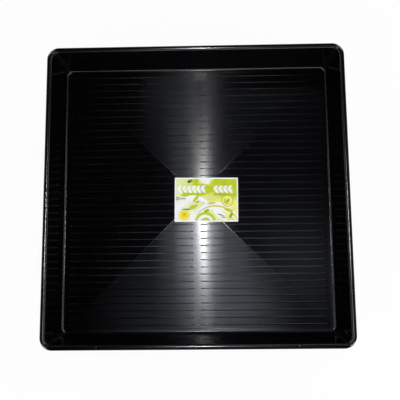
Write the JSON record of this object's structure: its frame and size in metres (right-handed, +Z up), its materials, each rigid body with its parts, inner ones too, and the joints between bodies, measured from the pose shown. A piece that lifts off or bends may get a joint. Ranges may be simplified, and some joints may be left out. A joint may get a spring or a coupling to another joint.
{
  "type": "drainage tray",
  "caption": "Shallow square plastic tray with leaning walls, a rolled rim and a ribbed, crowned floor. It stands under plant pots and holds the water that drains from them.",
  "frame": {"origin": "centre of the plane that the tray stands on", "axes": "+Z up out of the tray, +X along the floor ribs, +Y across them along the plain channel"},
  "size_m": [1, 1, 0.12],
  "materials": {
    "tray_plastic": "satin",
    "label_paper": "satin"
  },
  "bodies": {
    "root": {"tray": "tray_plastic", "label": "label_paper"}
  },
  "joints": []
}
